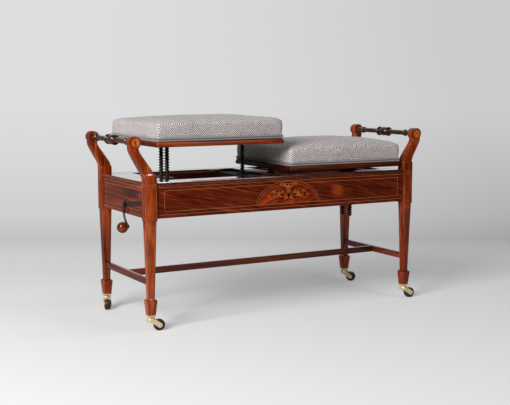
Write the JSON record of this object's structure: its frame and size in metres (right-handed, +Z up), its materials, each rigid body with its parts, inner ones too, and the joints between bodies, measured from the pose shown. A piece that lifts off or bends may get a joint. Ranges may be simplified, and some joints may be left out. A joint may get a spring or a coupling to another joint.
{
  "type": "duet piano bench",
  "caption": "Wooden bench for piano duets with upholstered seats that crank up and down on iron lifting screws, scrolled arms with hand rails, tapered legs and brass castors.",
  "frame": {"origin": "on the floor, under the middle of the bench", "axes": "+X along the bench to the right as a player faces it from the front, +Y to the back, +Z up"},
  "size_m": [1.046, 0.379, 0.6203],
  "materials": {
    "rosewood": "french-polished rosewood",
    "seat_edge": "polished mahogany",
    "iron": "blackened iron",
    "brass": "polished brass",
    "castor_wheel": "dark turned hardwood",
    "cushion": "woven grey upholstery cloth"
  },
  "bodies": {
    "frame": {"apron_front": "rosewood", "rim_front": "rosewood", "apron_back": "rosewood", "rim_back": "rosewood", "apron_left": "rosewood", "rim_left": "rosewood", "stretcher_left": "rosewood", "hand_rail_left": "rosewood", "apron_right": "rosewood", "rim_right": "rosewood", "stretcher_right": "rosewood", "hand_rail_right": "rosewood", "rim_centre": "rosewood", "stretcher_long": "rosewood", "leg_front_left": "rosewood", "castor_cup_front_left": "brass", "leg_back_left": "rosewood", "castor_cup_back_left": "brass", "bridge_outer_left": "iron", "bridge_inner_left": "iron", "crank_bush_left": "brass", "leg_front_right": "rosewood", "castor_cup_front_right": "brass", "leg_back_right": "rosewood", "castor_cup_back_right": "brass", "bridge_outer_right": "iron", "bridge_inner_right": "iron", "crank_bush_right": "brass"},
    "seat_left": {"seat_board_left": "seat_edge", "cushion_left": "cushion", "lift_screw_front_left": "iron", "lift_screw_back_left": "iron", "lift_screw_inner_left": "iron"},
    "crank_left": {"crank_left": "iron"},
    "ball_left": {"crank_ball_left": "rosewood"},
    "lay_shaft_left": {"lay_shaft_left": "iron"},
    "nut_front_left": {"lift_nut_front_left": "iron"},
    "nut_back_left": {"lift_nut_back_left": "iron"},
    "nut_inner_left": {"lift_nut_inner_left": "iron"},
    "seat_right": {"seat_board_right": "seat_edge", "cushion_right": "cushion", "lift_screw_front_right": "iron", "lift_screw_back_right": "iron", "lift_screw_inner_right": "iron"},
    "crank_right": {"crank_right": "iron"},
    "ball_right": {"crank_ball_right": "rosewood"},
    "lay_shaft_right": {"lay_shaft_right": "iron"},
    "nut_front_right": {"lift_nut_front_right": "iron"},
    "nut_back_right": {"lift_nut_back_right": "iron"},
    "nut_inner_right": {"lift_nut_inner_right": "iron"},
    "castor_front_left": {"castor_fork_front_left": "brass"},
    "wheel_front_left": {"castor_wheel_front_left": "castor_wheel"},
    "castor_back_left": {"castor_fork_back_left": "brass"},
    "wheel_back_left": {"castor_wheel_back_left": "castor_wheel"},
    "castor_front_right": {"castor_fork_front_right": "brass"},
    "wheel_front_right": {"castor_wheel_front_right": "castor_wheel"},
    "castor_back_right": {"castor_fork_back_right": "brass"},
    "wheel_back_right": {"castor_wheel_back_right": "castor_wheel"}
  },
  "joints": [
    {"name": "seat_lift_left", "type": "slide", "parent": "frame", "child": "seat_left", "axis": [0, 0, 1], "range_m": [-0.088, 0.012]},
    {"name": "crank_turn_left", "type": "hinge", "parent": "frame", "child": "crank_left", "pos_m": [-0.4782, -0.0305, 0.35775], "axis": [1, 0, 0], "range_deg": [-520.53, 3816.92]},
    {"name": "nut_turn_front_left", "type": "hinge", "parent": "frame", "child": "nut_front_left", "pos_m": [-0.337, -0.0305, 0.42285], "axis": [0, 0, 1], "range_deg": [-520.53, 3816.92]},
    {"name": "nut_turn_back_left", "type": "hinge", "parent": "frame", "child": "nut_back_left", "pos_m": [-0.337, 0.0105, 0.42285], "axis": [0, 0, 1], "range_deg": [-3816.92, 520.53]},
    {"name": "nut_turn_inner_left", "type": "hinge", "parent": "frame", "child": "nut_inner_left", "pos_m": [-0.0535, 0.0105, 0.42285], "axis": [0, 0, 1], "range_deg": [-520.53, 3816.92]},
    {"name": "lay_shaft_turn_left", "type": "hinge", "parent": "frame", "child": "lay_shaft_left", "pos_m": [-0.19525, 0.0105, 0.35775], "axis": [1, 0, 0], "range_deg": [-520.53, 3816.92]},
    {"name": "ball_spin_left", "type": "hinge", "parent": "crank_left", "child": "ball_left", "pos_m": [-0.4997, -0.06919, 0.29233], "axis": [1, 0, 0], "continuous": true},
    {"name": "seat_lift_right", "type": "slide", "parent": "frame", "child": "seat_right", "axis": [0, 0, 1], "range_m": [0, 0.1]},
    {"name": "crank_turn_right", "type": "hinge", "parent": "frame", "child": "crank_right", "pos_m": [0.4782, -0.0305, 0.35775], "axis": [1, 0, 0], "range_deg": [0, 4337.4]},
    {"name": "nut_turn_front_right", "type": "hinge", "parent": "frame", "child": "nut_front_right", "pos_m": [0.337, -0.0305, 0.42285], "axis": [0, 0, 1], "range_deg": [-4337.4, 0]},
    {"name": "nut_turn_back_right", "type": "hinge", "parent": "frame", "child": "nut_back_right", "pos_m": [0.337, 0.0105, 0.42285], "axis": [0, 0, 1], "range_deg": [0, 4337.4]},
    {"name": "nut_turn_inner_right", "type": "hinge", "parent": "frame", "child": "nut_inner_right", "pos_m": [0.0535, 0.0105, 0.42285], "axis": [0, 0, 1], "range_deg": [-4337.4, 0]},
    {"name": "lay_shaft_turn_right", "type": "hinge", "parent": "frame", "child": "lay_shaft_right", "pos_m": [0.19525, 0.0105, 0.35775], "axis": [1, 0, 0], "range_deg": [0, 4337.4]},
    {"name": "ball_spin_right", "type": "hinge", "parent": "crank_right", "child": "ball_right", "pos_m": [0.4997, -0.10534, 0.37094], "axis": [1, 0, 0], "continuous": true},
    {"name": "castor_swivel_front_left", "type": "hinge", "parent": "frame", "child": "castor_front_left", "pos_m": [-0.458, -0.1725, 0.03375], "axis": [0, 0, 1], "continuous": true},
    {"name": "wheel_roll_front_left", "type": "hinge", "parent": "castor_front_left", "child": "wheel_front_left", "pos_m": [-0.43374, -0.17591, 0.01645], "axis": [0.1392, 0.9903, 0], "continuous": true},
    {"name": "castor_swivel_back_left", "type": "hinge", "parent": "frame", "child": "castor_back_left", "pos_m": [-0.458, 0.1725, 0.03375], "axis": [0, 0, 1], "continuous": true},
    {"name": "wheel_roll_back_left", "type": "hinge", "parent": "castor_back_left", "child": "wheel_back_left", "pos_m": [-0.46557, 0.1492, 0.01645], "axis": [0.9511, -0.309, 0], "continuous": true},
    {"name": "castor_swivel_front_right", "type": "hinge", "parent": "frame", "child": "castor_front_right", "pos_m": [0.458, -0.1725, 0.03375], "axis": [0, 0, 1], "continuous": true},
    {"name": "wheel_roll_front_right", "type": "hinge", "parent": "castor_front_right", "child": "wheel_front_right", "pos_m": [0.4825, -0.1725, 0.01645], "axis": [0, 1, 0], "continuous": true},
    {"name": "castor_swivel_back_right", "type": "hinge", "parent": "frame", "child": "castor_back_right", "pos_m": [0.458, 0.1725, 0.03375], "axis": [0, 0, 1], "continuous": true},
    {"name": "wheel_roll_back_right", "type": "hinge", "parent": "castor_back_right", "child": "wheel_back_right", "pos_m": [0.47439, 0.15429, 0.01645], "axis": [0.7431, 0.6691, 0], "continuous": true}
  ],
  "couplings": [
    {"joint": "crank_turn_left", "follows": "seat_lift_left", "rad_per_m": -757.01},
    {"joint": "nut_turn_front_left", "follows": "seat_lift_left", "rad_per_m": -757.01},
    {"joint": "nut_turn_back_left", "follows": "seat_lift_left", "rad_per_m": 757.01},
    {"joint": "nut_turn_inner_left", "follows": "seat_lift_left", "rad_per_m": -757.01},
    {"joint": "lay_shaft_turn_left", "follows": "seat_lift_left", "rad_per_m": -757.01},
    {"joint": "crank_turn_right", "follows": "seat_lift_right", "rad_per_m": 757.01},
    {"joint": "nut_turn_front_right", "follows": "seat_lift_right", "rad_per_m": -757.01},
    {"joint": "nut_turn_back_right", "follows": "seat_lift_right", "rad_per_m": 757.01},
    {"joint": "nut_turn_inner_right", "follows": "seat_lift_right", "rad_per_m": -757.01},
    {"joint": "lay_shaft_turn_right", "follows": "seat_lift_right", "rad_per_m": 757.01}
  ]
}
